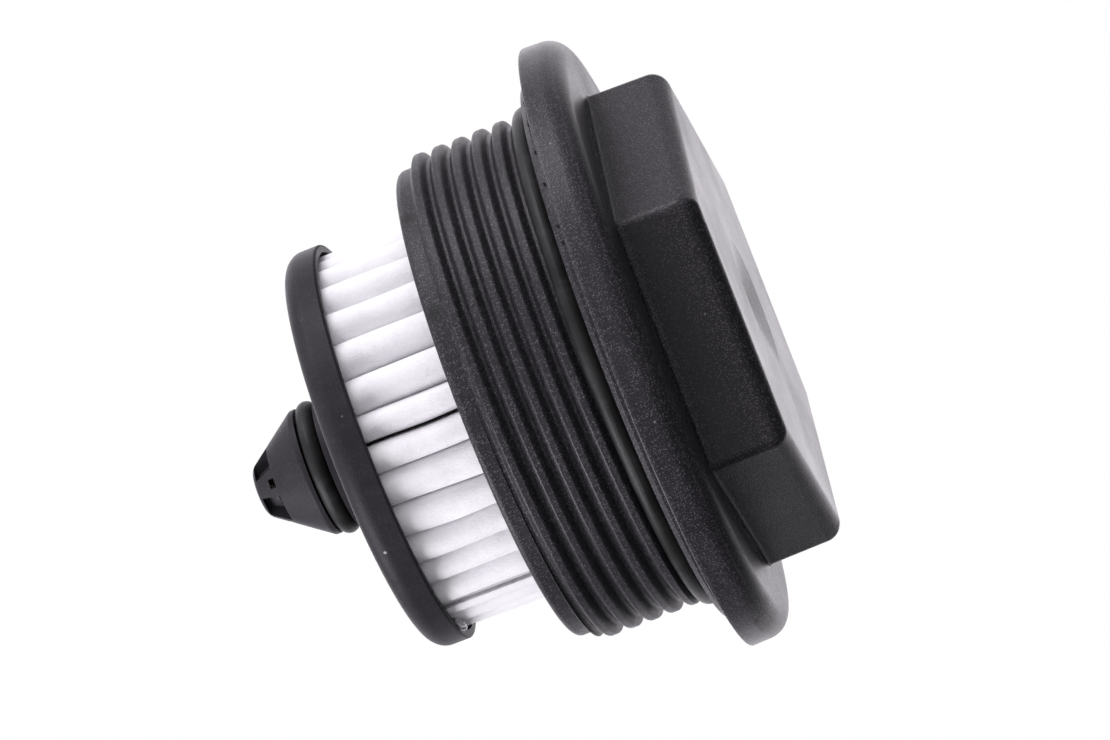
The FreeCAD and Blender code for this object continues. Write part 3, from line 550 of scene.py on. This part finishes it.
# ------------------------------------------------------------------ glue drop
def build_drop():
    """Drop of glue squeezed out between the pleats and the end cap's rim."""
    rows, cols = 22, 36
    turn = math.radians(-160.0)
    out, side = Vector((math.cos(turn), math.sin(turn), 0)), Vector((-math.sin(turn), math.cos(turn), 0))
    lump = wave(77, (2, 3, 5))
    verts = []
    for i in range(rows):
        v = math.pi * (i + 0.5) / rows
        for j in range(cols):
            u = 2 * math.pi * j / cols
            swell = 1 + 0.10 * float(lump(u + 0.8 * v))
            a = math.sin(v) * math.cos(u) * swell
            b = math.sin(v) * math.sin(u) * swell
            c = math.cos(v)
            p = out * (28.05 + 0.80 * a) + side * (2.25 * b) + Vector((0, 0, 53.35 + 0.85 * c - 0.18 * a))
            verts.append(p * MM)
    faces = grid_faces(rows, cols, False, True)
    faces.append(tuple(range(cols)))
    faces.append(tuple(reversed(range((rows - 1) * cols, rows * cols))))
    return make_mesh("glue_drop", verts, faces, GLUE)


glue_drop = build_drop()
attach(glue_drop, "cartridge")


# ------------------------------------------------------------------ bypass spring
def build_spring():
    """Valve spring with closed ends: the first and last turn lie flat on the plug and the keeper."""
    low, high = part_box("bypass_spring")
    z_low, z_high = low.z + 0.00044, high.z - 0.00044
    r_coil, r_wire, turns = 0.00425, 0.00044, 6.0
    steps, about = 288, 14
    def height(t):
        lead = 0.75 / turns
        pitch0 = 0.00092
        if t < lead:
            return z_low + pitch0 * t * turns
        if t > 1 - lead:
            return z_high - pitch0 * (1 - t) * turns
        a, b = z_low + pitch0 * lead * turns, z_high - pitch0 * lead * turns
        k = (t - lead) / (1 - 2 * lead)
        return a + (b - a) * k
    path = []
    for i in range(steps + 1):
        t = i / steps
        u = 2 * math.pi * turns * t + 0.6
        path.append(Vector((r_coil * math.cos(u), r_coil * math.sin(u), height(t))))
    verts, faces = [], []
    for i, p in enumerate(path):
        tangent = (path[min(i + 1, steps)] - path[max(i - 1, 0)]).normalized()
        out = Vector((p.x, p.y, 0)).normalized()
        third = tangent.cross(out).normalized()
        out = third.cross(tangent).normalized()
        for j in range(about):
            w = 2 * math.pi * j / about
            verts.append(p + out * (r_wire * math.cos(w)) + third * (r_wire * math.sin(w)))
    faces = grid_faces(steps + 1, about, False, True)
    for end in (0, steps):
        ring = [end * about + j for j in range(about)]
        faces.append(tuple(ring))
    return make_mesh("valve_spring", verts, faces, STEEL)


spring = build_spring()
low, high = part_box("bypass_spring")
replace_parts(spring, "bypass_spring")
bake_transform(spring)


# ------------------------------------------------------------------ stage
def build_floor():
    """Pale round floor under the head, fading out at its rim.  It is seen from above only."""
    rings, around = (0.0001, 0.06, 0.15, 0.3, 0.5), 96
    verts = [(0, 0, -0.0003)]
    for r in rings:
        for j in range(around):
            t = 2 * math.pi * j / around
            verts.append((r * math.cos(t), r * math.sin(t), -0.0003))
    faces = [(0, 1 + j, 1 + (j + 1) % around) for j in range(around)]
    for i in range(len(rings) - 1):
        for j in range(around):
            a, b = 1 + i * around, 1 + (i + 1) * around
            k = (j + 1) % around
            faces.append((a + j, b + j, b + k, a + k))
    mesh = bpy.data.meshes.new("floor")
    mesh.from_pydata(verts, [], faces)
    obj = bpy.data.objects.new("floor", mesh)
    bpy.context.scene.collection.objects.link(obj)
    mat = bpy.data.materials.new("floor")
    mat.use_nodes = True
    n = Nodes(mat.node_tree)
    out = n.add("ShaderNodeOutputMaterial")
    place = n.add("ShaderNodeTexCoord").outputs["Object"]
    length = n.add("ShaderNodeVectorMath", {"operation": "LENGTH"})
    n.put(length, 0, place)
    fade = n.remap(length.outputs[1], 0.16, 0.46, 0.0, 1.0, smooth=True)
    under = n.add("ShaderNodeNewGeometry").outputs["Backfacing"]
    straight = n.add("ShaderNodeLightPath").outputs["Is Camera Ray"]
    clear = n.math("MAXIMUM", n.math("MAXIMUM", fade, under), n.math("SUBTRACT", 1.0, straight))
    pale = n.add("ShaderNodeBsdfDiffuse")
    tone = n.mix(n.remap(n.noise(place, 30.0, 3.0), 0.3, 0.7), (0.80, 0.80, 0.80, 1), (0.83, 0.83, 0.83, 1))
    n.put(pale, "Color", tone)
    gone = n.add("ShaderNodeBsdfTransparent")
    both = n.add("ShaderNodeMixShader")
    n.put(both, 0, clear)
    mat.node_tree.links.new(pale.outputs[0], both.inputs[1])
    mat.node_tree.links.new(gone.outputs[0], both.inputs[2])
    mat.node_tree.links.new(both.outputs[0], out.inputs[0])
    mesh.materials.append(mat)
    return obj


floor = build_floor()

world = bpy.data.worlds.new("studio")
scene.world = world
world.use_nodes = True
w = Nodes(world.node_tree)
w_out = w.add("ShaderNodeOutputWorld")
w_dir = w.add("ShaderNodeTexCoord").outputs["Generated"]


def facing(direction, low, high, to_high):
    dot = w.add("ShaderNodeVectorMath", {"operation": "DOT_PRODUCT"})
    w.put(dot, 0, w_dir)
    dot.inputs[1].default_value = tuple(direction)
    return w.remap(dot.outputs[1], low, high, 0.0, to_high, smooth=True)


strength = w.math("SUBTRACT", 0.88, facing(UP, 0.2, 0.95, 0.20))
strength = w.math("SUBTRACT", strength, facing(-UP, 0.12, 0.80, 0.64))
strength = w.math("MULTIPLY", strength, w.math("SUBTRACT", 1.0, facing(RIGHT, 0.15, 0.75, 0.88)))
strength = w.math("ADD", strength, facing(-BACK, 0.60, 1.0, 1.55))
soft = w.add("ShaderNodeBackground")
soft.inputs["Color"].default_value = (1.0, 0.962, 1.022, 1)
w.put(soft, "Strength", strength)
seen = w.add("ShaderNodeBackground")
seen.inputs["Color"].default_value = (1.0, 1.0, 1.0, 1)
seen.inputs["Strength"].default_value = 1.0
pick = w.add("ShaderNodeMixShader")
w.put(pick, 0, w.add("ShaderNodeLightPath").outputs["Is Camera Ray"])
world.node_tree.links.new(soft.outputs[0], pick.inputs[1])
world.node_tree.links.new(seen.outputs[0], pick.inputs[2])
world.node_tree.links.new(pick.outputs[0], w_out.inputs[0])


def softbox(name, at, size, power):
    data = bpy.data.lights.new(name, "AREA")
    data.shape = "DISK"
    data.size = size
    data.energy = power
    data.color = (1.0, 0.965, 1.015)
    light = bpy.data.objects.new(name, data)
    bpy.context.scene.collection.objects.link(light)
    centre = Vector((0, 0, 0.035))
    light.location = centre + at
    light.rotation_mode = "QUATERNION"
    light.rotation_quaternion = at.to_track_quat("Z", "Y")
    return light


softbox("upper_left", (UP * 0.80 - RIGHT * 0.62 + BACK * 0.22) * 0.7, 0.50, 4.1)
softbox("lower_left", Vector((-0.52, -0.34, 0.78)) * 0.7, 0.52, 7.0)
